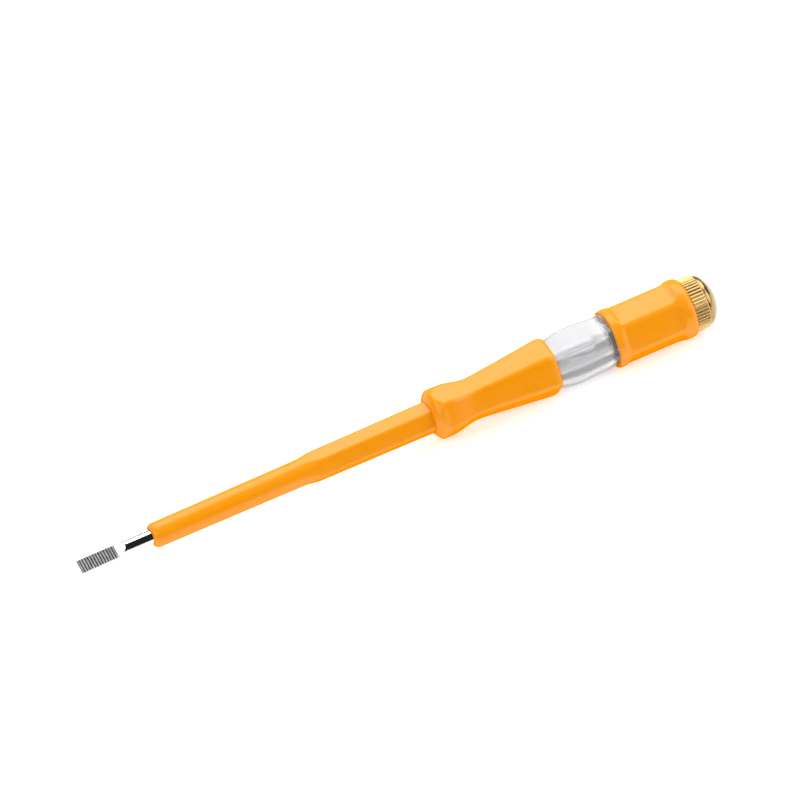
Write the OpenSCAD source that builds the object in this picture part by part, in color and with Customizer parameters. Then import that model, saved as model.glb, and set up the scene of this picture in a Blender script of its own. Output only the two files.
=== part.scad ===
// Neon mains tester in the form of a flat-blade screwdriver, in millimetres.
// The tool lies along +X. The origin is the middle of the blade's tip face, the touch cap is at the far end,
// and one pair of the handle's six flats faces up and down.

/* [Blade] */
// Width of the blade, which is also the diameter of its rod
blade_w = 4; // [3:0.1:4.8]
// Thickness of the blade at its tip
tip_t = 0.8; // [0.5:0.1:1.2]
// Length of the ridged flat from the tip
ground_len = 10.9; // [6:0.1:14]
// Length of the ramp from the flat up to the rod
runout_len = 2.5; // [2:0.1:5]
// Distance from one ridge of the flat to the next
ridge_pitch = 0.78; // [0.5:0.01:1.2]
// Depth of the groove between two ridges
ridge_depth = 0.12; // [0.05:0.01:0.2]
// Bare length from the tip to the insulating sleeve
bare_len = 21.5; // [18:0.1:40]
// Angle of the blade's flat about the axis, from the handle's upper flat
blade_turn = 20; // [0:5:90]
// Width across the two wings that key the rod in the handle
wing_w = 6.4; // [5.2:0.1:7]
// Thickness of the wings
wing_t = 1.2; // [0.8:0.1:1.8]
// Length of the wings
wing_len = 8; // [5:0.5:12]

/* [Insulating sleeve] */
// Length of the thin round sleeve
sleeve_len = 43.5; // [20:0.1:120]
// Length of the sleeve's rounded mouth
mouth_len = 1.1; // [0.6:0.1:2]
// Radius at the edge of the sleeve's mouth
mouth_r = 2.5; // [2.45:0.05:3]
// Radius of the sleeve at its mouth
sleeve_front_r = 3.45; // [3:0.05:3.6]
// Radius of the sleeve where its shoulder starts
sleeve_rear_r = 3.68; // [3.6:0.01:4]
// Length of the shoulder between the round sleeve and the six-sided nose
shoulder_len = 6.7; // [3:0.1:10]
// Length of the six-sided nose
nose_len = 32.7; // [15:0.1:60]
// Corner radius of the nose at its front
nose_front_r = 4.38; // [4.1:0.01:4.6]
// Corner radius of the nose where it meets the grip
nose_rear_r = 4.6; // [4.4:0.01:5]
// Radius of the plug that holds the sleeve in the grip
plug_r = 3.4; // [3:0.1:3.8]
// Length of that plug
plug_len = 7.8; // [5:0.1:9]

/* [Front grip] */
// Half-width across the flats as a share of the corner radius
flat_ratio = 0.907; // [0.88:0.001:0.95]
// Length of the round band at each end of a grip, before its flats
band_len = 1.3; // [0.8:0.1:2]
// Length over which the flats come in behind that band
flat_in_len = 2.4; // [1:0.1:3]
// Radius where the collar's rounded front starts
collar_face_r = 4.9; // [4.8:0.1:6.5]
// Length of the collar's rounded front
collar_round_len = 2.2; // [1.5:0.1:3.5]
// Length of the collar's land
land_len = 2.4; // [1:0.1:6]
// Corner radius of the collar's land
land_r = 7.25; // [6.6:0.05:8]
// Length of the fall from the land to the waist
fall_len = 8; // [5:0.1:14]
// Corner radius of the waist
waist_r = 6.02; // [5.6:0.01:6.5]
// Length of the rise from the waist to the swell
rise_len = 21.6; // [12:0.1:40]
// Corner radius of the swell, the thickest place of the grip
swell_r = 8.2; // [7.6:0.05:9]
// Length of the grip's rounded end
grip_round_len = 2.3; // [1.5:0.1:3.5]
// Corner radius at the edge of the grip's end
grip_end_r = 7.3; // [7.2:0.05:7.6]

/* [Clear barrel] */
// Length of the window between the two grips
window_len = 17.3; // [15.5:0.1:24]
// Corner radius of the window at its front edge
window_front_r = 7.05; // [6.6:0.05:7.2]
// Corner radius of the window's belly
belly_r = 8.05; // [7.6:0.05:8.2]
// Corner radius of the window at its rear edge
window_rear_r = 7.5; // [7:0.05:7.6]
// Distance from the window's front edge to its belly
belly_dist = 6.5; // [4:0.1:8]
// Radius of the barrel's core inside the front grip
core_r = 4; // [3.8:0.05:4.3]
// Radius of the barrel's core inside the rear grip
rear_core_r = 6.3; // [5.6:0.1:6.6]

/* [Rear grip] */
// Length of the rear grip
rear_len = 23.4; // [18:0.1:36]
// Corner radius of the rear grip
rear_r = 8.2; // [7.8:0.05:9]
// Corner radius of the flare before the cap
flare_r = 8.4; // [8:0.05:9]
// Length of the small rounding at its front edge
front_edge_len = 0.6; // [0.3:0.1:1.2]
// Corner radius at the front edge
front_edge_r = 7.75; // [7.6:0.05:8]
// Length of the rounding before the cap
rear_round_len = 1.6; // [1:0.1:2.5]
// Corner radius at the rear edge
rear_edge_r = 7.5; // [7.1:0.05:7.7]

/* [Touch cap] */
// Length of the cap's head
cap_len = 8.4; // [6:0.1:12]
// Radius over the cap's knurl
knurl_r = 7.5; // [7:0.05:7.7]
// Depth of the knurl
knurl_depth = 0.28; // [0.15:0.01:0.4]
// Number of ridges in the knurl
knurl_count = 48; // [36:1:72]
// Length of the knurl
knurl_len = 4.2; // [2:0.1:5]
// Radius at the foot of the cap's dome
dome_r = 7.2; // [6.6:0.05:7.3]
// Major radius of the thread that holds the cap
thread_r = 3; // [2.7:0.1:3.2]
// Length of the threaded spigot
spigot_len = 6.8; // [5:0.1:8]

/* [Inside] */
// Radius of the bore that the resistor and the lamp lie in
bore_r = 2.15; // [2.1:0.05:2.3]
// Length of the resistor over its end caps
resistor_len = 14; // [10:0.1:16]
// Length of the resistor's end caps
resistor_cap_len = 3; // [2:0.1:4]
// Radius of the resistor's ceramic rod
resistor_core_r = 1.3; // [1:0.05:1.5]
// Length of the lamp over its end caps
lamp_len = 15.2; // [13:0.1:16]
// Length of the lamp's end caps
lamp_cap_len = 3.4; // [2.5:0.1:4]
// Outer radius of the lamp's glass and of the resistor's coat
glass_r = 1.85; // [1.7:0.01:1.9]
// Wall of the lamp's glass
glass_t = 0.3; // [0.2:0.05:0.5]
// Radius of the lamp's two electrodes
electrode_r = 0.38; // [0.3:0.01:0.45]
// Length of each electrode
electrode_len = 4.6; // [3:0.1:5]
// Distance of each electrode from the lamp's axis
electrode_off = 0.62; // [0.5:0.01:0.8]
// Radius of the wires that carry the electrodes
lead_r = 0.2; // [0.15:0.01:0.25]
// Outer radius of the brass insert that the cap screws into
insert_r = 3.9; // [3.6:0.1:4.6]
// Radius of the clear hole through the insert, ahead of its thread
insert_hole_r = 2.3; // [2.25:0.05:2.4]
// How far the insert stands forward of the rear grip
insert_lead = 1; // [0.5:0.1:2]
// Wire radius of the contact spring
wire_r = 0.2; // [0.15:0.01:0.25]
// Number of turns of the contact spring
spring_turns = 8; // [5:1:10]
// Thickness of the plunger's head
plunger_t = 1.2; // [0.8:0.1:2]
// Length of the plunger's stem inside the spring
stem_len = 2.5; // [1.5:0.1:4]
// Radius of the plunger's stem
stem_r = 0.9; // [0.6:0.1:1.1]

/* [Clearances] */
// Gap between pieces that are pressed or moulded together
fit_gap = 0.02; // [0.01:0.01:0.05]
// Radial gap between pieces that slide or screw
running_gap = 0.05; // [0.03:0.01:0.1]
// Radial gap between the plunger, with its spring, and the insert's hole that they slide in
plunger_gap = 0.25; // [0.15:0.05:0.4]

/* [Hidden] */

$fn = 64;
rod_r = blade_w / 2;
end_cap_r = bore_r - 2 * running_gap; // outer radius of the end caps of resistor and lamp
plunger_r = insert_hole_r - plunger_gap; // radius of the plunger's head and over the spring
piece_gap = 0.05; // gap between the cap's head and the grip that it closes
ridge_rise = 0.02; // how much thicker each ridge of the blade stands than the one before it
ridges = floor(ground_len / ridge_pitch);
foot_half = tip_t / 2 + ridges * ridge_rise; // half-thickness at the foot of the ramp
ramp_over = 1.15; // the ramp is drawn past the rod's surface, to this share of its radius
flare_len = 3.4; // length over which the rear grip's flats end and its flare rises
cup_floor = 0.6; // thickness of the closed end of each end cap
neck = 0.6; // bare wire between an end cap and its electrode
draw = 0.9; // solid glass at each drawn end of the lamp
lead_hole = 1.5; // depth of the hole that a wire takes through the lamp's end
dome_shape = 1.3; // 1 makes the dome an ellipse, and more makes it slimmer
tip_gap = 0.02; // radius at which the dome's outline is closed
seat = 0.3; // thickness of thread at the front of the insert, ahead of the spigot
short = 0.2; // how far the barrel stops short of the cap

// Places along the tool
shoulder_x = bare_len + sleeve_len;
nose_x = shoulder_x + shoulder_len;
collar_x = nose_x + nose_len;
land_x = collar_x + collar_round_len;
fall_x = land_x + land_len;
waist_x = fall_x + fall_len;
swell_x = waist_x + rise_len;
window_x = swell_x + grip_round_len;
belly_x = window_x + belly_dist;
rear_x = window_x + window_len;
cap_x = rear_x + rear_len;
end_x = cap_x + cap_len;
core_x = collar_x + plug_len;
insert_x = rear_x - insert_lead;
lamp_x = insert_x - lamp_len;
glass_x = lamp_x + cup_floor + fit_gap;
glass_end_x = insert_x - cup_floor - fit_gap;
electrode_x = lamp_x + lamp_cap_len + neck;
electrode_end_x = insert_x - lamp_cap_len - neck;
rod_end_x = lamp_x - resistor_len;
wing_x = rod_end_x - 1.25 * wing_len;
spigot_x = cap_x - spigot_len;
plunger_x = spigot_x - plunger_t;
thread_x = spigot_x - seat;

function ease(t) = (1 - cos(180 * t)) / 2;
function mix(a, b, t) = a + (b - a) * t;
function share(x, from, to) = min(1, max(0, (x - from) / (to - from)));
function bulge(t) = sqrt(max(0, 1 - t * t));
function steps(from, to, count) = [for (i = [0:count]) mix(from, to, i / count)];

// Corner radius of each six-sided piece at the place x
function nose_corner(x) = x < nose_x
    ? mix(sleeve_rear_r, nose_front_r, ease(share(x, shoulder_x, nose_x)))
    : mix(nose_front_r, nose_rear_r, share(x, nose_x, collar_x));

function grip_corner(x) =
    x < land_x ? mix(collar_face_r, land_r, sin(90 * share(x, collar_x, land_x)))
    : x < fall_x ? land_r
    : x < waist_x ? mix(land_r, waist_r, ease(share(x, fall_x, waist_x)))
    : x < swell_x ? mix(waist_r, swell_r, share(x, waist_x, swell_x))
    : mix(grip_end_r, swell_r, bulge(share(x, swell_x, window_x)));

function window_corner(x) = x < belly_x
    ? mix(window_front_r, belly_r, sin(90 * share(x, window_x, belly_x)))
    : mix(belly_r, window_rear_r, ease(share(x, belly_x, rear_x)));

function rear_corner(x) =
    x < rear_x + front_edge_len
        ? mix(front_edge_r, rear_r, bulge(1 - share(x, rear_x, rear_x + front_edge_len)))
    : x < cap_x - rear_round_len
        ? mix(rear_r, flare_r, ease(share(x, cap_x - rear_round_len - flare_len, cap_x - rear_round_len)))
    : mix(rear_edge_r, flare_r, bulge(share(x, cap_x - rear_round_len, cap_x)));

// A solid turned about the tool's axis, from points [place, radius]
module turned(points)
    rotate([0, 90, 0])
        rotate_extrude()
            polygon([for (p = concat([[points[0][0], 0]], points, [[points[len(points) - 1][0], 0]]))
                [p[1], p[0]]]);

// A round bar from one place to another
module bar(from, to, r)
    translate([from, 0, 0])
        rotate([0, 90, 0])
            cylinder(h = to - from, r = r);

module tube(from, to, outer, inner)
    difference() {
        bar(from, to, outer);
        bar(from - 1, to + 1, inner);
    }

// Everything between two flats that face up and down, from points [place, half-width], turned about the axis
module flats(points, turn)
    rotate([turn, 0, 0])
        rotate([90, 0, 0])
            linear_extrude(height = 6 * swell_r, center = true)
                polygon(concat(points, [for (i = [len(points) - 1:-1:0]) [points[i][0], -points[i][1]]]));

// A turned bar with six flats
module six_sided(corners, halves)
    intersection() {
        turned(corners);
        flats(halves, 0);
        flats(halves, 60);
        flats(halves, 120);
    }

// Upper outline of the blade from the side: ridges on a slow taper, a ramp, then clear of the wings
function blade_side() =
    let (base = ground_len / ridges, over = (ramp_over * rod_r - foot_half) / (rod_r - foot_half))
    concat(
        [for (i = [0:ridges - 1], half = [0, 1])
            [(i + half / 2) * base, tip_t / 2 + i * ridge_rise + half * ridge_depth]],
        [[ground_len, foot_half], [ground_len + over * runout_len, ramp_over * rod_r],
            [ground_len + 2 * runout_len, wing_w], [rod_end_x + 1, wing_w]]);

module blade_shaft()
    color("silver")
        intersection() {
            union() {
                bar(0, rod_end_x, rod_r);
                translate([wing_x + wing_len / 2, 0, 0])
                    cube([wing_len, wing_w, wing_t], center = true);
            }
            flats(blade_side(), blade_turn);
        }

module shaft_sleeve()
    color("orange")
        difference() {
            union() {
                turned(concat([for (a = steps(0, 90, 6))
                        [bare_len + mouth_len * (1 - cos(a)), mix(mouth_r, sleeve_front_r, sin(a))]],
                    [[shoulder_x, sleeve_rear_r]]));
                six_sided([for (x = concat(steps(shoulder_x, nose_x, 8), [collar_x])) [x, nose_corner(x)]],
                    [for (x = concat(steps(shoulder_x, nose_x, 8), [collar_x]))
                        [x, nose_corner(x) * mix(1, flat_ratio, share(x, shoulder_x, nose_x))]]);
                bar(shoulder_x - 1, core_x, plug_r);
            }
            bar(bare_len - 1, core_x + 1, rod_r + fit_gap);
        }

module front_grip()
    color("orange")
        difference() {
            six_sided(
                [for (x = concat(steps(collar_x, land_x, 5), steps(fall_x, waist_x, 7),
                    steps(swell_x, window_x, 5))) [x, grip_corner(x)]],
                concat([[collar_x, land_r], [collar_x + band_len, land_r],
                        [collar_x + band_len + flat_in_len, land_r * flat_ratio]],
                    [for (x = concat(steps(fall_x, waist_x, 7), steps(swell_x, window_x, 5)))
                        [x, grip_corner(x) * flat_ratio]]));
            bar(collar_x - 1, core_x + fit_gap, plug_r + fit_gap);
            bar(core_x, window_x + 1, core_r + fit_gap);
        }

module clear_barrel()
    color("lightgray", 0.5)
        difference() {
            union() {
                bar(core_x + 2 * fit_gap, window_x + 1, core_r);
                six_sided([for (x = steps(window_x + fit_gap, rear_x - fit_gap, 14)) [x, window_corner(x)]],
                    [for (x = steps(window_x + fit_gap, rear_x - fit_gap, 14))
                        [x, window_corner(x) * flat_ratio]]);
                bar(rear_x - 1, cap_x - short, rear_core_r);
            }
            bar(core_x - 1, rod_end_x + 1, rod_r + fit_gap);
            bar(rod_end_x, insert_x + 1, bore_r);
            bar(insert_x, cap_x + 1, insert_r + fit_gap);
            translate([wing_x + wing_len / 2, 0, 0])
                cube([wing_len + 2 * fit_gap, wing_w + 2 * fit_gap, wing_t + 2 * fit_gap], center = true);
        }

module rear_grip()
    color("orange")
        difference() {
            six_sided(
                [for (x = concat(steps(rear_x, rear_x + front_edge_len, 4),
                    steps(cap_x - rear_round_len - flare_len, cap_x - rear_round_len, 4),
                    steps(cap_x - 0.8 * rear_round_len, cap_x, 4))) [x, rear_corner(x)]],
                [[rear_x, rear_r], [rear_x + band_len, rear_r],
                    [rear_x + band_len + flat_in_len, rear_r * flat_ratio],
                    [cap_x - rear_round_len - flare_len, rear_r * flat_ratio],
                    [cap_x - rear_round_len, flare_r], [cap_x, flare_r]]);
            bar(rear_x - 1, cap_x + 1, rear_core_r + fit_gap);
        }

module thread_insert()
    color("goldenrod")
        difference() {
            bar(insert_x + fit_gap, cap_x - short / 2, insert_r);
            bar(insert_x - 1, cap_x + 1, insert_hole_r);
            bar(thread_x, cap_x + 1, thread_r + running_gap);
        }

// A cup that closes one end of the resistor or of the lamp. Its floor is at x and it opens towards dir.
module end_cup(x, cup_len, dir, held_r, lead_y)
    translate([x, 0, 0])
        mirror([dir < 0 ? 1 : 0, 0, 0])
            difference() {
                bar(0, cup_len, end_cap_r);
                bar(cup_floor, cup_len + 1, held_r + fit_gap);
                if (lead_y != 0)
                    translate([0, lead_y, 0])
                        bar(-1, 1, lead_r + fit_gap);
            }

module resistor_core()
    color("white")
        bar(rod_end_x + cup_floor + fit_gap, lamp_x - cup_floor - fit_gap, resistor_core_r);

module resistor_coat()
    color("sandybrown")
        tube(rod_end_x + resistor_cap_len + fit_gap, lamp_x - resistor_cap_len - fit_gap,
            glass_r, resistor_core_r + fit_gap);

module resistor_front_cap()
    color("gainsboro")
        end_cup(rod_end_x, resistor_cap_len, 1, resistor_core_r, 0);

module resistor_rear_cap()
    color("gainsboro")
        end_cup(lamp_x, resistor_cap_len, -1, resistor_core_r, 0);

module lamp_front_cap()
    color("gainsboro")
        end_cup(lamp_x, lamp_cap_len, 1, glass_r, electrode_off);

module lamp_rear_cap()
    color("gainsboro")
        end_cup(insert_x, lamp_cap_len, -1, glass_r, -electrode_off);

module lamp_glass()
    color("lightcyan", 0.5)
        difference() {
            bar(glass_x, glass_end_x, glass_r);
            bar(glass_x + draw, glass_end_x - draw, glass_r - glass_t);
            translate([0, electrode_off, 0])
                bar(glass_x - 1, glass_x + lead_hole, lead_r + fit_gap);
            translate([0, -electrode_off, 0])
                bar(glass_end_x - lead_hole, glass_end_x + 1, lead_r + fit_gap);
        }

module lamp_front_lead()
    color("silver")
        translate([0, electrode_off, 0])
            bar(lamp_x + fit_gap, electrode_x, lead_r);

module lamp_rear_lead()
    color("silver")
        translate([0, -electrode_off, 0])
            bar(electrode_end_x, insert_x - fit_gap, lead_r);

module lamp_front_electrode()
    color("dimgray")
        translate([0, electrode_off, 0])
            bar(electrode_x, electrode_x + electrode_len, electrode_r);

module lamp_rear_electrode()
    color("dimgray")
        translate([0, -electrode_off, 0])
            bar(electrode_end_x - electrode_len, electrode_end_x, electrode_r);

// Rings of six points each along the coil, joined into one closed skin
module contact_spring() {
    sides = 6;
    rings = 12 * spring_turns;
    coil_r = plunger_r - wire_r;
    first = insert_x + wire_r + fit_gap;
    last = plunger_x - wire_r - fit_gap;
    points = [for (i = [0:rings], k = [0:sides - 1])
        let (turn = 360 * spring_turns * i / rings, side = 360 * k / sides, r = coil_r + wire_r * cos(side))
        [mix(first, last, i / rings) + wire_r * sin(side), r * cos(turn), r * sin(turn)]];
    walls = [for (i = [0:rings - 1], k = [0:sides - 1])
        let (n = (k + 1) % sides) [i * sides + k, i * sides + n, (i + 1) * sides + n, (i + 1) * sides + k]];
    color("gainsboro")
        polyhedron(points, concat([[for (k = [sides - 1:-1:0]) k]], walls,
            [[for (k = [0:sides - 1]) rings * sides + k]]));
}

module spring_plunger()
    color("goldenrod") {
        bar(plunger_x, spigot_x - fit_gap, plunger_r);
        bar(plunger_x - stem_len, plunger_x + plunger_t / 2, stem_r);
    }

module touch_cap()
    color("goldenrod")
        union() {
            translate([cap_x + piece_gap, 0, 0])
                rotate([0, 90, 0])
                    linear_extrude(height = knurl_len)
                        polygon([for (i = [0:2 * knurl_count - 1])
                            let (r = knurl_r - (i % 2) * knurl_depth, a = 180 * i / knurl_count)
                            [r * cos(a), r * sin(a)]]);
            turned(concat([[cap_x + piece_gap, dome_r], [cap_x + knurl_len, dome_r]],
                [for (a = steps(0, 84, 9))
                    [cap_x + knurl_len + (cap_len - knurl_len) * sin(a), dome_r * pow(cos(a), dome_shape)]],
                [[end_x, tip_gap]]));
            bar(spigot_x, cap_x + 1, thread_r);
        }

blade_shaft();
shaft_sleeve();
front_grip();
clear_barrel();
rear_grip();
thread_insert();
resistor_core();
resistor_coat();
resistor_front_cap();
resistor_rear_cap();
lamp_glass();
lamp_front_cap();
lamp_rear_cap();
lamp_front_lead();
lamp_rear_lead();
lamp_front_electrode();
lamp_rear_electrode();
contact_spring();
spring_plunger();
touch_cap();
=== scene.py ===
import math

import bpy
from mathutils import Matrix, Vector


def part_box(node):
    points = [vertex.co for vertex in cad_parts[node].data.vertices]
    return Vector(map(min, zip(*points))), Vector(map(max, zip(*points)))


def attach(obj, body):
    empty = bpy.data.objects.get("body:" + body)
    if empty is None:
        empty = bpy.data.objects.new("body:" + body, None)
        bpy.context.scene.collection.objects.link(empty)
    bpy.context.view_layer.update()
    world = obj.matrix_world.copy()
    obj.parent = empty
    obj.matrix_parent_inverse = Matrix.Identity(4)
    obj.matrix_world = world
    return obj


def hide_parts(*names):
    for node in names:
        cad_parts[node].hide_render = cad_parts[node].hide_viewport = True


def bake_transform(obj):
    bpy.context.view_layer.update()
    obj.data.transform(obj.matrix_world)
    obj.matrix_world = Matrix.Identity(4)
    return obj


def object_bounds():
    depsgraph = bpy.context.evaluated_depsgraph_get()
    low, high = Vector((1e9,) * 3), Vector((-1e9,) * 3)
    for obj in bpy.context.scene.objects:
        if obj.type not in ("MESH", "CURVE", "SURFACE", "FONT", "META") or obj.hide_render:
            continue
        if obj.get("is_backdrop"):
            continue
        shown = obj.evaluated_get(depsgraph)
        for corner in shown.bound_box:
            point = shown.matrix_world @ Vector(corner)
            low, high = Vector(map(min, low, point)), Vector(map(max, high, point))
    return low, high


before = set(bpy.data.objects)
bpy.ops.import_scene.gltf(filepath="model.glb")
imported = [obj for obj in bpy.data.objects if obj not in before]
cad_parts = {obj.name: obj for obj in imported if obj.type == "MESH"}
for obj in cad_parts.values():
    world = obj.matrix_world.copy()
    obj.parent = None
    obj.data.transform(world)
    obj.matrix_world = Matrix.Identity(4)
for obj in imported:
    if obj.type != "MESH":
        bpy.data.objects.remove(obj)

cad_low, cad_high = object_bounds()

# Blade and shaft
# One drawn steel rod, chromed, whose end is ground flat and cross-ridged so that it does not slip in a slot.
# Two wings, pressed out of the rod inside the handle, stop it from turning.
MM = 0.001  # metres in a millimetre; sizes below are in millimetres
SIDES = 144  # points round a full-size ring


def span(node):
    """Where a CAD piece starts and ends along the tool, in millimetres."""
    low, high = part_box(node)
    return low.x / MM, high.x / MM


def share(x, start, end):
    """How far x has come from start to end, kept between 0 and 1."""
    return min(1.0, max(0.0, (x - start) / (end - start)))


def mix(a, b, t):
    """The value a share t of the way from a to b."""
    return a + (b - a) * t


def steps(start, end, count):
    """Evenly spaced values from start to end, both included."""
    return [mix(start, end, i / count) for i in range(count + 1)]


def ring(x, reach, sides=SIDES):
    """A closed ring of points about the tool's axis; reach is a radius, or a function of the angle and x."""
    points = []
    for k in range(sides):
        angle = 2 * math.pi * k / sides
        r = reach(angle, x) if callable(reach) else reach
        points.append((x, r * math.cos(angle), r * math.sin(angle)))
    return points


def skin(name, rings, loop=False, sharp=38):
    """Joins rings into one closed smooth mesh. A ring of one point closes an end.

    With loop, the last ring joins the first. Edges over sharp degrees stay sharp.
    """
    points, starts, faces = [], [], []
    for one in rings:
        starts.append(len(points))
        points.extend(one)
    pairs = list(zip(range(len(rings)), range(1, len(rings))))
    if loop:
        pairs.append((len(rings) - 1, 0))
    for i, j in pairs:
        a, b, near, far = starts[i], starts[j], len(rings[i]), len(rings[j])
        for k in range(max(near, far)):
            n = (k + 1) % max(near, far)
            if near == 1:
                faces.append((a, b + n, b + k))
            elif far == 1:
                faces.append((a + k, a + n, b))
            else:
                faces.append((a + k, a + n, b + n, b + k))
    mesh = bpy.data.meshes.new(name)
    mesh.from_pydata([Vector(p) * MM for p in points], [], faces)
    mesh.polygons.foreach_set("use_smooth", [True] * len(mesh.polygons))
    mesh.set_sharp_from_angle(angle=math.radians(sharp))
    piece = bpy.data.objects.new(name, mesh)
    bpy.context.scene.collection.objects.link(piece)
    return piece


def finish_with(name, colour, roughness, metallic=0.0):
    """A new material and its shader, with the values that are the same all over."""
    material = bpy.data.materials.new(name)
    material.use_nodes = True
    shader = material.node_tree.nodes["Principled BSDF"]
    shader.inputs["Base Color"].default_value = (*colour, 1)
    shader.inputs["Roughness"].default_value = roughness
    shader.inputs["Metallic"].default_value = metallic
    return material, shader


def noise(material, scale, stretch=(1, 1, 1), detail=4.0, rough=0.55):
    """Noise in the object's own space. scale is in lumps a metre."""
    nodes, links = material.node_tree.nodes, material.node_tree.links
    place = nodes.new("ShaderNodeTexCoord")
    mapping = nodes.new("ShaderNodeMapping")
    mapping.inputs["Scale"].default_value = stretch
    texture = nodes.new("ShaderNodeTexNoise")
    texture.inputs["Scale"].default_value = scale
    texture.inputs["Detail"].default_value = detail
    texture.inputs["Roughness"].default_value = rough
    links.new(place.outputs["Object"], mapping.inputs["Vector"])
    links.new(mapping.outputs["Vector"], texture.inputs["Vector"])
    return texture.outputs["Fac"]


def vary(material, shader, socket, source, low, high):
    """Drives one of the shader's numbers between low and high."""
    links = material.node_tree.links
    band = material.node_tree.nodes.new("ShaderNodeMapRange")
    band.inputs["From Min"].default_value = 0.3
    band.inputs["From Max"].default_value = 0.7
    band.inputs["To Min"].default_value = low
    band.inputs["To Max"].default_value = high
    links.new(source, band.inputs["Value"])
    links.new(band.outputs["Result"], shader.inputs[socket])


def tint(material, shader, source, dark, light):
    """Lets the colour drift between two near tones."""
    links = material.node_tree.links
    blend = material.node_tree.nodes.new("ShaderNodeMix")
    blend.data_type = "RGBA"
    blend.inputs["A"].default_value = (*dark, 1)
    blend.inputs["B"].default_value = (*light, 1)
    links.new(source, blend.inputs["Factor"])
    links.new(blend.outputs["Result"], shader.inputs["Base Color"])


def bump(material, shader, source, height, strength=1.0):
    """Raises the surface by a height in metres where the source is bright."""
    links = material.node_tree.links
    node = material.node_tree.nodes.new("ShaderNodeBump")
    node.inputs["Strength"].default_value = strength
    node.inputs["Distance"].default_value = height
    links.new(source, node.inputs["Height"])
    links.new(node.outputs["Normal"], shader.inputs["Normal"])


def assemble(piece, body, slot, *nodes):
    """The piece stands for its CAD nodes and rides on their body. The slot is not used."""
    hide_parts(*nodes)
    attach(piece, body)


rod_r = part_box("blade_shaft")[1].z / MM
tip_x, rod_end_x = span("blade_shaft")
sleeve_x, core_x = span("shaft_sleeve")
blade_turn = math.radians(20)
tip_half = 0.4
ridge_pitch = 0.78
ridge_depth = 0.12
ridge_rise = 0.02
ridge_count = 14
ramp_len = 2.5
ground_x = tip_x + ridge_pitch * ridge_count
foot_half = tip_half + ridge_rise * ridge_count
ramp_x = ground_x + ramp_len
wing_half = 3.2
wing_half_t = 0.6
wing_x = rod_end_x - 10
wing_end_x = rod_end_x - 2
rod_chamfer = 0.3
flat_slack = 0.08


def blade_half(x):
    """Half the blade's thickness: ridges on a slow taper, then a slightly hollow ramp up to the rod."""
    if x < ground_x:
        wave = (1 - math.cos(2 * math.pi * (x - tip_x) / ridge_pitch)) / 2
        return tip_half + ridge_rise * (x - tip_x) / ridge_pitch + ridge_depth * wave
    t = share(x, ground_x, ramp_x)
    return mix(foot_half, rod_r, 0.8 * t + 0.2 * t * t)


def blade_ring(x):
    """The round rod cut down to the blade's thickness, and turned about the tool's axis."""
    half = blade_half(x)
    points = []
    for k in range(SIDES):
        angle = 2 * math.pi * k / SIDES
        across = rod_r * math.cos(angle)
        up = max(-half, min(half, rod_r * math.sin(angle)))
        points.append((x, across * math.cos(blade_turn) - up * math.sin(blade_turn),
                       across * math.sin(blade_turn) + up * math.cos(blade_turn)))
    return points


def winged(angle, x):
    """Reach of the rod with a flat wing on each side."""
    wide = wing_half / max(1e-6, abs(math.cos(angle)))
    thick = wing_half_t / max(1e-6, abs(math.sin(angle)))
    return max(rod_r, min(wide, thick))


blade = skin("chromed_blade",
             [[(tip_x, 0, 0)]] + [blade_ring(x) for x in steps(tip_x, ground_x, 8 * ridge_count)]
             + [blade_ring(x) for x in steps(ground_x + 0.05, ramp_x, 36)]
             + [ring(x, rod_r) for x in steps(ramp_x + 0.1, sleeve_x + 1, 20) + [wing_x]]
             + [ring(x, winged) for x in (wing_x + 0.05, wing_end_x - 0.05)]
             + [ring(wing_end_x, rod_r), ring(rod_end_x - rod_chamfer, rod_r),
                ring(rod_end_x, rod_r - rod_chamfer), [(rod_end_x, 0, 0)]])
chrome, shader = finish_with("drawn_and_chromed_rod", (0.60, 0.605, 0.615), 0.1, 1.0)
vary(chrome, shader, "Roughness", noise(chrome, 900, (0.06, 1, 1)), 0.06, 0.16)
bump(chrome, shader, noise(chrome, 2600, (0.03, 1, 1)), 0.00001, 0.5)
ground, shader = finish_with("cross_ground_steel", (0.3, 0.3, 0.31), 0.34, 1.0)
vary(ground, shader, "Roughness", noise(ground, 2200, (1, 0.2, 0.2)), 0.24, 0.5)
wave_unit = 20  # a wave texture of scale 1 has this many radians to the metre
crests = ground.node_tree.nodes.new("ShaderNodeTexWave")
crests.inputs["Scale"].default_value = 2 * math.pi / (wave_unit * ridge_pitch * MM)
place = ground.node_tree.nodes.new("ShaderNodeTexCoord")
ground.node_tree.links.new(place.outputs["Object"], crests.inputs["Vector"])
# Painted shade: the flats go near black in the grooves between the ridges and stay light on the crests; a
# mottle breaks up the bands.
groove_shade_and_mottle = ground.node_tree.nodes.new("ShaderNodeMath")
groove_shade_and_mottle.operation = "MULTIPLY"
ground.node_tree.links.new(crests.outputs["Fac"], groove_shade_and_mottle.inputs[0])
ground.node_tree.links.new(noise(ground, 1600, (1, 0.45, 0.45), 3, 0.7), groove_shade_and_mottle.inputs[1])
tint(ground, shader, groove_shade_and_mottle.outputs["Value"], (0.015, 0.015, 0.016), (0.58, 0.58, 0.59))
bump(ground, shader, noise(ground, 2600, (1, 0.35, 0.35)), 0.00012, 0.9)
blade.data.materials.append(chrome)
blade.data.materials.append(ground)
for face in blade.data.polygons:
    middle = face.center / MM
    rise = abs(middle.z * math.cos(blade_turn) - middle.y * math.sin(blade_turn))
    on_flat = rise > blade_half(middle.x) - flat_slack
    if middle.x < ground_x and on_flat:
        face.material_index = 1
assemble(blade, "handle", "blade_steel", "blade_shaft")

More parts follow.
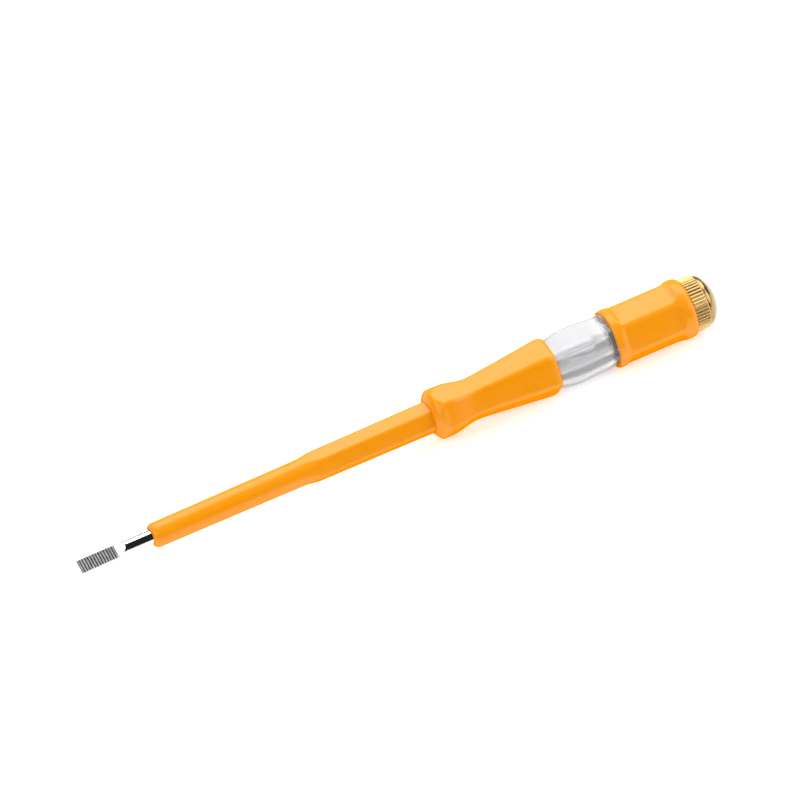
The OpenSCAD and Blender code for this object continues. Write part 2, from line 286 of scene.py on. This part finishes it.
# Insulating sleeve
# One orange moulding over the rod: thin and round in front, with a soft shoulder up to a nose with six flats.
# Its plug goes into the front grip.
flat_share = 0.907  # half-width across the flats, as a share of the corner radius
collar_x, window_x = span("front_grip")
shoulder_lead = 39.4
nose_lead = 32.7
shoulder_x = collar_x - shoulder_lead
nose_x = collar_x - nose_lead
sleeve_front_r = 3.45
sleeve_rear_r = 3.68
nose_front_r = 4.38
nose_rear_r = 4.6
plug_r = 3.4
mouth_len = 1.1
mouth_r = 2.5
skin_gap = 0.02  # air between the skins of two pieces that fit into each other


def ease(t):
    """A slow start and a slow end for a share that runs from 0 to 1."""
    return (1 - math.cos(math.pi * t)) / 2


def soft_min(a, b, round_off):
    """The smaller of two lengths, rounded where they cross."""
    h = max(round_off - abs(a - b), 0) / round_off
    return min(a, b) - h * h * round_off / 4


def six_sided(corner, half, round_off=0.14, crown=0.12):
    """Reach of a round bar of radius corner with six slightly crowned flats, one pair facing up and down."""
    def reach(angle, x):
        turn = (angle - math.pi / 2 + math.pi / 6) % (math.pi / 3) - math.pi / 6
        return soft_min(corner, half * (1 + (1 - crown) * (1 / math.cos(turn) - 1)), round_off)
    return reach


def sleeve_ring(x):
    """Round in front of the shoulder; the flats grow over the shoulder and run on to the collar."""
    if x < shoulder_x:
        return ring(x, mix(sleeve_front_r, sleeve_rear_r, share(x, sleeve_x, shoulder_x)))
    if x < nose_x:
        corner = mix(sleeve_rear_r, nose_front_r, ease(share(x, shoulder_x, nose_x)))
    else:
        corner = mix(nose_front_r, nose_rear_r, share(x, nose_x, collar_x))
    half = corner * mix(1.02, flat_share, share(x, shoulder_x, nose_x))
    return ring(x, six_sided(corner, half))


sleeve = skin("insulating_sleeve",
              [ring(sleeve_x, rod_r + skin_gap)]
              + [ring(sleeve_x + mouth_len * (1 - math.cos(a)), mix(mouth_r, sleeve_front_r, math.sin(a)))
                 for a in steps(0, math.pi / 2, 14)]
              + [sleeve_ring(x) for x in steps(sleeve_x + mouth_len + 0.5, shoulder_x, 20)]
              + [sleeve_ring(x) for x in steps(shoulder_x + 0.3, nose_x, 24)]
              + [sleeve_ring(x) for x in steps(nose_x + 1, collar_x, 12)]
              + [ring(x, plug_r) for x in (collar_x, core_x)] + [ring(core_x, rod_r + skin_gap)],
              loop=True)


def orange_plastic(name):
    """Smooth moulded polypropylene: a fine skin texture, faint flow marks in colour and in gloss.

    The gloss fades where the surface turns away, so that the rims keep their orange.
    """
    material, shader = finish_with(name, (0.80, 0.268, 0.0005), 0.3)
    tint(material, shader, noise(material, 60, (0.4, 1, 1), 3), (0.78, 0.258, 0.0005), (0.82, 0.278, 0.0005))
    vary(material, shader, "Roughness", noise(material, 240, (0.5, 1, 1)), 0.26, 0.35)
    bump(material, shader, noise(material, 3800, detail=2), 0.00001, 0.6)
    shader.inputs["IOR"].default_value = 1.49
    edge = material.node_tree.nodes.new("ShaderNodeLayerWeight")
    vary(material, shader, "Specular IOR Level", edge.outputs["Facing"], 0.36, 0.0)
    return material


orange_sleeve = orange_plastic("orange_sleeve_plastic")
sleeve.data.materials.append(orange_sleeve)
assemble(sleeve, "handle", "orange_sleeve", "shaft_sleeve")

# Front grip
# An orange moulding over the clear barrel: a round collar, then six shallow flats that run over the waist
# and the swell to a rounded end.
collar_face_r = 4.9
band_r = 6.98
land_r = 7.25
waist_r = 6.02
swell_r = 8.2
grip_end_r = 7.35
core_r = 4.0
band_x = collar_x + 2.0
land_x = collar_x + 3.4
fall_x = collar_x + 4.6
waist_x = collar_x + 12.6
swell_x = window_x - 2.3
flats_x = collar_x + 1.2
flats_full_x = collar_x + 3.8
waist_ease = 0.1
round_share = 1.03  # a half-width at which no flat is left


def bulge(t):
    """A quarter circle: 1 at 0, falling to 0 at 1."""
    return math.sqrt(max(0.0, 1 - t * t))


def grip_corner(x):
    """Corner radius along the grip: collar, land, fall to the waist, rise to the swell, rounded end."""
    if x < band_x:
        return mix(collar_face_r, band_r, math.sin(math.pi / 2 * share(x, collar_x, band_x)))
    if x < fall_x:
        return mix(band_r, land_r, ease(share(x, band_x, land_x)))
    if x < waist_x:
        return mix(land_r, waist_r, ease(share(x, fall_x, waist_x)))
    if x < swell_x:
        t = share(x, waist_x, swell_x)
        rise = (math.hypot(t, waist_ease) - waist_ease) / (math.hypot(1, waist_ease) - waist_ease)
        return mix(waist_r, swell_r, rise)
    return mix(grip_end_r, swell_r, bulge(share(x, swell_x, window_x)))


def grip_ring(x):
    """Round at the collar's face; the flats are full from the land on."""
    corner = grip_corner(x)
    half = mix(corner * round_share, corner * flat_share, ease(share(x, flats_x, flats_full_x)))
    return ring(x, six_sided(corner, half))


front_grip = skin("front_grip_moulding",
                  [ring(collar_x, plug_r + skin_gap)]
                  + [grip_ring(mix(collar_x, band_x, 1 - math.cos(a))) for a in steps(0, math.pi / 2, 12)]
                  + [grip_ring(x) for x in steps(band_x + 0.12, fall_x, 30)]
                  + [grip_ring(x) for x in steps(fall_x + 0.4, waist_x, 20)]
                  + [grip_ring(x) for x in steps(waist_x + 0.5, swell_x, 36)]
                  + [grip_ring(mix(swell_x, window_x, math.sin(a))) for a in steps(0.1, math.pi / 2, 12)]
                  + [ring(window_x, core_r + skin_gap), ring(core_x + skin_gap, core_r + skin_gap),
                     ring(core_x + skin_gap, plug_r + skin_gap)],
                  loop=True)
orange_grip = orange_plastic("orange_grip_plastic")
front_grip.data.materials.append(orange_grip)
assemble(front_grip, "handle", "orange_grip", "front_grip")

# Rear grip
# A second orange moulding over the barrel's rear end. Its six flats are let into a round body, so a round
# band is left at each end; the rear band flares a little.
rear_x, cap_x = span("rear_grip")
rear_r = 8.18
flare_r = 8.38
flare_len = 5.6
front_edge_r = 7.75
rear_edge_r = 7.5
rear_core_r = 6.3
front_round = 0.6
rear_round = 1.6
front_band = 0.9
front_band_end = 3.6
rear_band = 1.8
rear_band_end = 5.2


def rear_corner(x):
    """Corner radius along the grip: rounded front edge, straight run, flare, rounded rear edge."""
    if x < rear_x + front_round:
        return mix(front_edge_r, rear_r, bulge(1 - share(x, rear_x, rear_x + front_round)))
    if x < cap_x - rear_round:
        return mix(rear_r, flare_r, ease(share(x, cap_x - flare_len, cap_x - rear_round)))
    return mix(rear_edge_r, flare_r, bulge(share(x, cap_x - rear_round, cap_x)))


def rear_ring(x):
    """The flats lie between the two round bands."""
    corner = rear_corner(x)
    inside = ease(share(x, rear_x + front_band, rear_x + front_band_end))
    inside *= ease(share(cap_x - x, rear_band, rear_band_end))
    half = mix(corner * round_share, rear_r * flat_share, inside)
    return ring(x, six_sided(corner, half))


rear_grip = skin("rear_grip_moulding",
                 [ring(rear_x, rear_core_r + skin_gap)]
                 + [rear_ring(mix(rear_x, rear_x + front_round, 1 - math.cos(a)))
                    for a in steps(0, math.pi / 2, 8)]
                 + [rear_ring(x) for x in steps(rear_x + front_round + 0.1, rear_x + front_band_end, 24)]
                 + [rear_ring(x) for x in steps(rear_x + front_band_end + 0.8, cap_x - flare_len - 0.2, 10)]
                 + [rear_ring(x) for x in steps(cap_x - flare_len, cap_x - rear_round, 32)]
                 + [rear_ring(mix(cap_x - rear_round, cap_x, math.sin(a)))
                    for a in steps(0.12, math.pi / 2, 10)]
                 + [ring(cap_x, rear_core_r + skin_gap)],
                 loop=True)
rear_grip.data.materials.append(orange_grip)
assemble(rear_grip, "handle", "orange_grip", "rear_grip")

# Clear barrel
# The transparent core of the handle, moulded round the rod's wings. Its belly shows between the grips as
# the window over the lamp, with the same six flats as the grips.
insert_x, insert_end_x = span("thread_insert")
barrel_end_x = span("clear_barrel")[1]
window_front_r = 7.05
belly_r = 8.05
window_rear_r = 7.5
belly_x = window_x + 6.5
bore_r = 2.15
insert_r = 3.9
window_round = 0.1
milky_share = 0.52  # share of the light that goes through the plastic over the lamp
clear_share = 0.8  # and over the insert
milky_end_x = insert_x - 1.6
clear_start_x = insert_x - 0.2


def window_ring(x):
    """The belly of the window: it swells from the front grip and falls again to the rear grip."""
    if x < belly_x:
        corner = mix(window_front_r, belly_r, math.sin(math.pi / 2 * share(x, window_x, belly_x)))
    else:
        corner = mix(belly_r, window_rear_r, ease(share(x, belly_x, rear_x)))
    return ring(x, six_sided(corner, corner * flat_share, window_round))


barrel = skin("clear_barrel_moulding",
              [ring(core_x + 2 * skin_gap, rod_r + skin_gap), ring(core_x + 2 * skin_gap, core_r),
               ring(window_x + skin_gap, core_r)]
              + [window_ring(x) for x in steps(window_x + skin_gap, rear_x - skin_gap, 48)]
              + [ring(x, rear_core_r) for x in (rear_x - skin_gap, barrel_end_x)]
              + [ring(barrel_end_x, insert_r + skin_gap), ring(insert_x, insert_r + skin_gap),
                 ring(insert_x, bore_r), ring(rod_end_x, bore_r), ring(rod_end_x, rod_r + skin_gap)],
              loop=True)


def along_tool(material, start, end, low, high):
    """A number that goes from low at start to high at end, in the object's own space."""
    nodes, links = material.node_tree.nodes, material.node_tree.links
    place = nodes.new("ShaderNodeTexCoord")
    axes = nodes.new("ShaderNodeSeparateXYZ")
    band = nodes.new("ShaderNodeMapRange")
    band.inputs["From Min"].default_value = start * MM
    band.inputs["From Max"].default_value = end * MM
    band.inputs["To Min"].default_value = low
    band.inputs["To Max"].default_value = high
    links.new(place.outputs["Object"], axes.inputs["Vector"])
    links.new(axes.outputs["X"], band.inputs["Value"])
    return band.outputs["Result"]


clear, shader = finish_with("clear_moulded_plastic", (0.63, 0.635, 0.65), 0.04)
clearness = along_tool(clear, milky_end_x, clear_start_x, milky_share, clear_share)
clear.node_tree.links.new(clearness, shader.inputs["Transmission Weight"])
shader.inputs["IOR"].default_value = 1.47
vary(clear, shader, "Roughness", noise(clear, 300, (0.4, 1, 1)), 0.02, 0.05)
bump(clear, shader, noise(clear, 420, (0.3, 1, 1), 2), 0.00003, 0.3)
barrel.data.materials.append(clear)
bore, shader = finish_with("clear_polished_bore", (0.96, 0.965, 0.97), 0.02)
shader.inputs["Transmission Weight"].default_value = 0.97
shader.inputs["IOR"].default_value = 1.47
vary(bore, shader, "Roughness", noise(bore, 900, (0.3, 1, 1)), 0.01, 0.04)
barrel.data.materials.append(bore)
for face in barrel.data.polygons:
    if math.hypot(face.center.y, face.center.z) < core_r * MM:
        face.material_index = 1
assemble(barrel, "handle", "clear_plastic", "clear_barrel")

# Threaded insert
# A turned, nickel-plated brass bush, knurled outside, pressed into the rear of the clear barrel. The touch
# cap screws into it, and its front end shows as a dark ring through the window.
thread_x = span("spring_plunger")[1] - 0.3
thread_r = 3.0
thread_depth = 0.5
thread_play = 0.05
pitch = 1.0
flank = 2.6  # how steeply a thread's flank falls from its crest
hole_r = 2.3
insert_sides = 216
insert_knurl_depth = 0.16
insert_knurl_count = 36
chamfer_r = insert_r - 0.06
groove_r = insert_r - 0.5
groove_x = insert_x + 8.2
groove_end_x = insert_x + 9.4


def knurled(r, depth, count):
    """Reach of a straight knurl with soft ridges."""
    def reach(angle, x):
        wave = (1 + math.cos(count * angle)) / 2
        return r - depth * (1 - wave ** 0.8)
    return reach


def threaded(r, depth):
    """Reach of a right-hand screw thread; depth runs inwards from r."""
    def reach(angle, x):
        phase = (x / pitch - angle / (2 * math.pi)) % 1.0
        return r - depth * min(1.0, flank * min(phase, 1 - phase))
    return reach


insert_knurl = knurled(insert_r, insert_knurl_depth, insert_knurl_count)
insert_thread = threaded(thread_r + thread_play, thread_depth - thread_play)
insert = skin("plated_thread_insert",
              [ring(insert_x + skin_gap, hole_r, insert_sides),
               ring(insert_x + skin_gap, insert_r - 0.4, insert_sides),
               ring(insert_x + 0.4, chamfer_r, insert_sides)]
              + [ring(x, insert_knurl, insert_sides) for x in steps(insert_x + 0.6, groove_x - 0.2, 2)]
              + [ring(x, groove_r, insert_sides) for x in (groove_x, groove_end_x)]
              + [ring(x, insert_knurl, insert_sides)
                 for x in steps(groove_end_x + 0.2, insert_end_x - 0.6, 3)]
              + [ring(insert_end_x - 0.4, chamfer_r, insert_sides),
                 ring(insert_end_x, insert_r - 0.3, insert_sides),
                 ring(insert_end_x, thread_r + 0.3, insert_sides)]
              + [ring(x, insert_thread, insert_sides)
                 for x in steps(insert_end_x - 0.3, thread_x + 0.1, 48)]
              + [ring(thread_x, hole_r, insert_sides)],
              loop=True)


def brass(name, light, dark, low, high):
    """Turned brass with fine tool marks round the axis and a slightly uneven tarnish."""
    material, shader = finish_with(name, light, low, 1.0)
    tint(material, shader, noise(material, 500), dark, light)
    vary(material, shader, "Roughness", noise(material, 700), low, high)
    bump(material, shader, noise(material, 5000, (1, 0.1, 0.1), 2), 0.00001, 0.35)
    return material


insert.data.materials.append(brass("nickel_plated_brass", (0.58, 0.57, 0.56), (0.46, 0.45, 0.45), 0.30, 0.42))
assemble(insert, "handle", "plated_insert", "thread_insert")

# Resistor
# A ceramic rod with a baked lacquer coat and plain value rings, and a tinned cap pressed on each end. It lies
# in the bore behind the shaft and keeps the current through the finger tiny.
resistor_core_r = 1.3
core_chamfer = 0.1
coat_r = 1.85
coat_dip = 0.12
cap_r = 2.05
cap_floor = 0.6
cap_edge = 0.25
cap_play = 0.03
ring_width = 0.08
lacquer_tone = (0.55, 0.36, 0.18)
cores = span("resistor_core")
coats = span("resistor_coat")


def lathe(name, outline, loop=False, sides=72):
    """A turned piece from points (place, radius); a radius of 0 closes an end."""
    return skin(name, [ring(x, r, sides) if r else [(x, 0, 0)] for x, r in outline], loop)


def end_cup(name, start, end, held_r):
    """A pressed cup: its floor is at start and it opens towards end, with a rolled lip."""
    way = 1 if end > start else -1
    inner_r = held_r + cap_play
    outline = [(start, 0)]
    outline += [(start + way * cap_edge * (1 - math.sin(a)), cap_r - cap_edge * (1 - math.cos(a)))
                for a in steps(math.pi / 2, 0, 6)]
    outline += [(end - way * 0.5, cap_r), (end - way * 0.35, cap_r - 0.07), (end - way * 0.2, cap_r - 0.02),
                (end, cap_r - 0.08), (end, inner_r), (start + way * cap_floor, inner_r),
                (start + way * cap_floor, 0)]
    return lathe(name, outline if way > 0 else outline[::-1])


tinned, shader = finish_with("tinned_metal", (0.55, 0.55, 0.53), 0.26, 1.0)
vary(tinned, shader, "Roughness", noise(tinned, 1500), 0.2, 0.42)
tint(tinned, shader, noise(tinned, 900), (0.26, 0.26, 0.25), (0.78, 0.78, 0.76))
bump(tinned, shader, noise(tinned, 3000), 0.00002, 0.5)

core = lathe("resistor_ceramic_rod",
             [(cores[0], 0), (cores[0], resistor_core_r - core_chamfer),
              (cores[0] + core_chamfer, resistor_core_r), (cores[1] - core_chamfer, resistor_core_r),
              (cores[1], resistor_core_r - core_chamfer), (cores[1], 0)])
ceramic, shader = finish_with("fired_ceramic", (0.82, 0.78, 0.70), 0.6)
tint(ceramic, shader, noise(ceramic, 2500), (0.76, 0.72, 0.64), (0.86, 0.83, 0.76))
bump(ceramic, shader, noise(ceramic, 6000), 0.00002, 0.7)
core.data.materials.append(ceramic)
assemble(core, "handle", "resistor_ceramic", "resistor_core")

coat = lathe("resistor_lacquer_coat",
             [(coats[0], resistor_core_r + skin_gap), (coats[0], coat_r - 0.2)]
             + [(x, coat_r - coat_dip * share(min(x - coats[0], coats[1] - x), 1.2, 2.4))
                for x in steps(coats[0] + 0.2, coats[1] - 0.2, 24)]
             + [(coats[1], coat_r - 0.2), (coats[1], resistor_core_r + skin_gap)], loop=True)
lacquer, shader = finish_with("baked_lacquer", lacquer_tone, 0.28)
rings = lacquer.node_tree.nodes.new("ShaderNodeValToRGB")
rings.color_ramp.interpolation = "CONSTANT"
rings.color_ramp.elements[0].color = (*lacquer_tone, 1)
rings.color_ramp.elements[1].position = 0.92
rings.color_ramp.elements[1].color = (*lacquer_tone, 1)
for start, colour in ((0.16, (0.2, 0.08, 0.03)), (0.34, (0.02, 0.02, 0.02)), (0.52, (0.1, 0.35, 0.08)),
                      (0.76, (0.6, 0.42, 0.1))):
    for position, tone in ((start, colour), (start + ring_width, lacquer_tone)):
        rings.color_ramp.elements.new(position).color = (*tone, 1)
lacquer.node_tree.links.new(along_tool(lacquer, coats[0], coats[1], 0, 1), rings.inputs["Fac"])
lacquer.node_tree.links.new(rings.outputs["Color"], shader.inputs["Base Color"])
bump(lacquer, shader, noise(lacquer, 1200), 0.00003, 0.5)
coat.data.materials.append(lacquer)
assemble(coat, "handle", "resistor_lacquer", "resistor_coat")

for node, opens_forward in (("resistor_front_cap", False), ("resistor_rear_cap", True)):
    start, end = span(node)[::-1] if opens_forward else span(node)
    cup = end_cup(node + "_cup", start, end, resistor_core_r)
    cup.data.materials.append(tinned)
    assemble(cup, "handle", "tinned_cap", node)

# Neon lamp
# A glass tube drawn in at both ends, two nickel electrodes side by side on wires, and a tinned cap at each
# end that the wires are soldered to. It glows when the cap is touched and the blade is live.
glass_x, glass_end_x = span("lamp_glass")
glass_r = 1.85
glass_t = 0.3
wall_in = glass_r - glass_t
hollow_inset = 1.0


def glass_outline(r, start, end, draw):
    """A tube with rounded ends from start to end."""
    nose = [(mix(start, start + draw, 1 - math.cos(a)), r * math.sin(a)) for a in steps(0, math.pi / 2, 10)]
    tail = [(mix(end, end - draw, 1 - math.cos(a)), r * math.sin(a)) for a in steps(math.pi / 2, 0, 10)]
    return [(x, r if r > 1e-6 else 0) for x, r in nose + tail]


envelope = lathe("lamp_glass_envelope", glass_outline(glass_r, glass_x, glass_end_x, 1.3))
hollow = lathe("lamp_hollow",
               glass_outline(wall_in, glass_x + hollow_inset, glass_end_x - hollow_inset, 1.5)[::-1])
bpy.ops.object.select_all(action="DESELECT")
hollow.select_set(True)
envelope.select_set(True)
bpy.context.view_layer.objects.active = envelope
bpy.ops.object.join()
glass, shader = finish_with("lamp_glass", (0.97, 0.98, 0.98), 0.0)
shader.inputs["Transmission Weight"].default_value = 1.0
shader.inputs["IOR"].default_value = 1.5
vary(glass, shader, "Roughness", noise(glass, 800), 0.0, 0.05)
bump(glass, shader, noise(glass, 900, detail=1), 0.00002, 0.3)
envelope.data.materials.append(glass)
assemble(envelope, "handle", "lamp_glass", "lamp_glass")

for node, opens_forward in (("lamp_front_cap", False), ("lamp_rear_cap", True)):
    start, end = span(node)[::-1] if opens_forward else span(node)
    cup = end_cup(node + "_cup", start, end, glass_r)
    cup.data.materials.append(tinned)
    assemble(cup, "handle", "tinned_cap", node)

nickel, shader = finish_with("dull_nickel", (0.30, 0.29, 0.29), 0.42, 1.0)
vary(nickel, shader, "Roughness", noise(nickel, 2500), 0.35, 0.6)
tint(nickel, shader, noise(nickel, 1800), (0.2, 0.19, 0.19), (0.42, 0.41, 0.4))
wire, shader = finish_with("drawn_wire", (0.55, 0.5, 0.45), 0.3, 1.0)
vary(wire, shader, "Roughness", noise(wire, 2500, (0.1, 1, 1)), 0.2, 0.4)
for node, slot, material in (("lamp_front_lead", "lamp_wire", wire), ("lamp_rear_lead", "lamp_wire", wire),
                             ("lamp_front_electrode", "lamp_electrode", nickel),
                             ("lamp_rear_electrode", "lamp_electrode", nickel)):
    low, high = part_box(node)
    radius = (high.z - low.z) / 2 / MM
    edge = radius * 0.5
    start, end = span(node)
    rod = lathe(node + "_rod", [(start, 0), (start, radius - edge)]
                + [(start + edge * (1 - math.cos(a)), radius - edge * (1 - math.sin(a)))
                   for a in steps(0.2, math.pi / 2, 5)]
                + [(end - edge * (1 - math.cos(a)), radius - edge * (1 - math.sin(a)))
                   for a in steps(math.pi / 2, 0.2, 5)] + [(end, radius - edge), (end, 0)], sides=24)
    rod.location.y = (low.y + high.y) / 2
    rod.data.materials.append(material)
    assemble(rod, "handle", slot, node)

# Contact spring
# Nickelled steel wire, wound right-handed, with closed ends. It presses the lamp and the resistor against
# the shaft; it is built at one length.
spring_x, spring_end_x = span("contact_spring")
wire_r = 0.2
turns = 8
dead_turns = 0.75
dead_pitch = 2.1 * wire_r
coil_r = cap_r - wire_r


def coil_place(t):
    """Place along the tool at the turn t: close-wound at both ends, even between them."""
    first, last = spring_x + wire_r, spring_end_x - wire_r
    closed = dead_pitch * dead_turns
    if t < dead_turns:
        return first + closed * t / dead_turns
    if t > turns - dead_turns:
        return last - closed * (turns - t) / dead_turns
    return mix(first + closed, last - closed, (t - dead_turns) / (turns - 2 * dead_turns))


loops = []
for t in steps(0, turns, turns * 40):
    around = 2 * math.pi * t
    centre, out = coil_place(t), (math.cos(around), math.sin(around))
    loops.append([(centre + wire_r * math.sin(a), (coil_r + wire_r * math.cos(a)) * out[0],
                   (coil_r + wire_r * math.cos(a)) * out[1]) for a in steps(0, 2 * math.pi, 12)[:-1]])
tips = [[tuple(sum(p[i] for p in loop) / len(loop) for i in range(3))] for loop in (loops[0], loops[-1])]
spring = skin("contact_spring_coil", [tips[0]] + loops + [tips[1]], sharp=60)
steel, shader = finish_with("nickelled_spring_wire", (0.66, 0.65, 0.63), 0.24, 1.0)
vary(steel, shader, "Roughness", noise(steel, 2000), 0.16, 0.34)
bump(steel, shader, noise(steel, 6000), 0.00001, 0.4)
spring.data.materials.append(steel)
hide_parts("contact_spring")
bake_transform(spring)

# Plunger
# A small stud turned from brass bar. Its stem sits in the spring's rear end, and the spring presses its head
# against the cap's spigot.
stem_x, head_end_x = span("spring_plunger")
head_len = 1.2
head_x = head_end_x - head_len + skin_gap
head_r = cap_r
stem_r = 0.9
stem_chamfer = 0.3
plunger = lathe("brass_plunger",
                [(stem_x, 0), (stem_x, stem_r - stem_chamfer), (stem_x + stem_chamfer, stem_r),
                 (head_x - 0.15, stem_r), (head_x, stem_r + 0.1), (head_x, head_r - 0.15),
                 (head_x + 0.15, head_r), (head_end_x - 0.25, head_r), (head_end_x, head_r - 0.3),
                 (head_end_x, 0)])
plunger.data.materials.append(brass("plunger_brass", (0.74, 0.6, 0.32), (0.62, 0.48, 0.24), 0.2, 0.34))
assemble(plunger, "plunger", "brass_plunger", "spring_plunger")

# Touch cap
# Turned from brass bar and left plain: a threaded spigot, a straight knurl for the fingers and a polished
# dome that the finger touches. It screws into the insert.
spigot_x, end_x = span("touch_cap")
seat_gap = 0.05
knurl_r = 7.5
knurl_depth = 0.28
knurl_count = 48
knurl_len = 4.2
knurl_chamfer = 0.35
knurl_fade = 0.3
dome_r = 7.2
dome_power = 1.3
head_start_x = cap_x + seat_gap
knurl_end_x = head_start_x + knurl_len
cap_sides = knurl_count * 9
cap_thread = threaded(thread_r, thread_depth)


def knurl_ring(x):
    """The knurl fades out towards its two chamfered ends."""
    fade = ease(share(min(x - head_start_x, knurl_end_x - x), 0, knurl_fade))
    base = mix(knurl_r - knurl_chamfer, knurl_r - knurl_depth, fade)
    return ring(x, knurled(base + knurl_depth * fade, knurl_depth * fade, knurl_count), cap_sides)


def dome_ring(angle):
    """One ring of the dome; angle runs from its rim (0) to its middle."""
    x = knurl_end_x + (end_x - knurl_end_x) * math.sin(angle)
    return ring(x, dome_r * math.cos(angle) ** dome_power, cap_sides)


cap = skin("brass_touch_cap",
           [[(spigot_x, 0, 0)], ring(spigot_x, thread_r - 0.55, cap_sides)]
           + [ring(x, cap_thread, cap_sides) for x in steps(spigot_x + 0.25, cap_x - 0.9, 46)]
           + [ring(x, thread_r - thread_depth, cap_sides) for x in (cap_x - 0.7, head_start_x)]
           + [knurl_ring(x) for x in steps(head_start_x, head_start_x + 0.5, 5)]
           + [knurl_ring(x) for x in steps(knurl_end_x - 0.5, knurl_end_x, 5)]
           + [dome_ring(a) for a in steps(0.0, math.radians(84), 28)] + [[(end_x, 0, 0)]], sharp=50)
cap.data.materials.append(brass("knurled_cap_brass", (0.64, 0.42, 0.17), (0.50, 0.31, 0.115), 0.24, 0.36))
# Painted shade: the dome gets its own darker copy of the brass, which damps the light it reflects.
cap.data.materials.append(brass("shaded_dome_brass", (0.38, 0.27, 0.12), (0.26, 0.18, 0.073), 0.18, 0.30))
for face in cap.data.polygons:
    if face.center.x > knurl_end_x * MM:
        face.material_index = 1
assemble(cap, "cap", "brass_cap", "touch_cap")

# Floor, light and camera
# A floor of pale paper under the resting tool, lit a little from below like a light table. A large soft light
# stands above and behind, and one at each side. The camera looks from above through a long lens.
bottom = cad_low.z
floor_half = 3.0
floor_glow = 0.4
floor_mesh = bpy.data.meshes.new("floor")
floor_mesh.from_pydata([(-floor_half, -floor_half, bottom), (floor_half, -floor_half, bottom),
                        (floor_half, floor_half, bottom), (-floor_half, floor_half, bottom)],
                       [], [(0, 1, 2, 3)])
floor = bpy.data.objects.new("floor", floor_mesh)
bpy.context.scene.collection.objects.link(floor)
paper, shader = finish_with("pale_paper", (0.96, 0.96, 0.96), 0.7)
shader.inputs["Emission Color"].default_value = (1, 1, 1, 1)
shader.inputs["Emission Strength"].default_value = floor_glow
vary(paper, shader, "Roughness", noise(paper, 40), 0.65, 0.8)
floor_mesh.materials.append(paper)
floor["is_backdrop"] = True

middle = (cad_low + cad_high) / 2


def soft_light(name, direction, distance, width, height, brightness):
    """A rectangular soft light at a distance from the tool's middle, facing it."""
    data = bpy.data.lights.new(name, "AREA")
    data.shape = "RECTANGLE"
    data.size = width
    data.size_y = height
    data.energy = brightness * math.pi * width * height
    light = bpy.data.objects.new(name, data)
    way = Vector(direction).normalized()
    light.location = middle + way * distance
    light.rotation_euler = (-way).to_track_quat("-Z", "Y").to_euler()
    bpy.context.scene.collection.objects.link(light)


soft_light("back_light", (0.276, 0.585, 0.762), 1.1, 1.9, 1.0, 3.85)
soft_light("left_light", (-0.68, -0.25, 0.69), 1.2, 1.2, 1.1, 2.8)
soft_light("right_light", (0.78, -0.4, 0.48), 1.2, 0.9, 0.9, 3.1)

world = bpy.data.worlds.new("studio")
world.use_nodes = True
world.node_tree.nodes["Background"].inputs["Color"].default_value = (1, 1, 1, 1)
world.node_tree.nodes["Background"].inputs["Strength"].default_value = 0.025
bpy.context.scene.world = world
bpy.context.scene.view_settings.view_transform = "Standard"

tilt = math.radians(15.3)
climb = math.radians(48)
slant = math.radians(23.3)
away = Vector((-math.sin(tilt), -math.cos(tilt) * math.cos(climb), math.cos(tilt) * math.sin(climb)))
along = (Vector((1, 0, 0)) - away * away.x).normalized()
across = away.cross(along)
right = along * math.cos(slant) - across * math.sin(slant)
up = along * math.sin(slant) + across * math.cos(slant)
lens_mm = 1000
sensor_mm = 36
field = 0.2124  # width of the view in metres at the tool
shift_right = 0.00065
shift_up = 0.00816
camera_data = bpy.data.cameras.new("camera")
camera_data.lens = lens_mm
camera_data.sensor_width = sensor_mm
camera_data.clip_end = 20
camera = bpy.data.objects.new("camera", camera_data)
bpy.context.scene.collection.objects.link(camera)
aim = Vector(((cad_low.x + cad_high.x) / 2, 0, 0)) + right * shift_right + up * shift_up
turn = Matrix((right, up, away)).transposed()
camera.matrix_world = Matrix.Translation(aim + away * field * lens_mm / sensor_mm) @ turn.to_4x4()
bpy.context.scene.camera = camera

low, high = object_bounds()
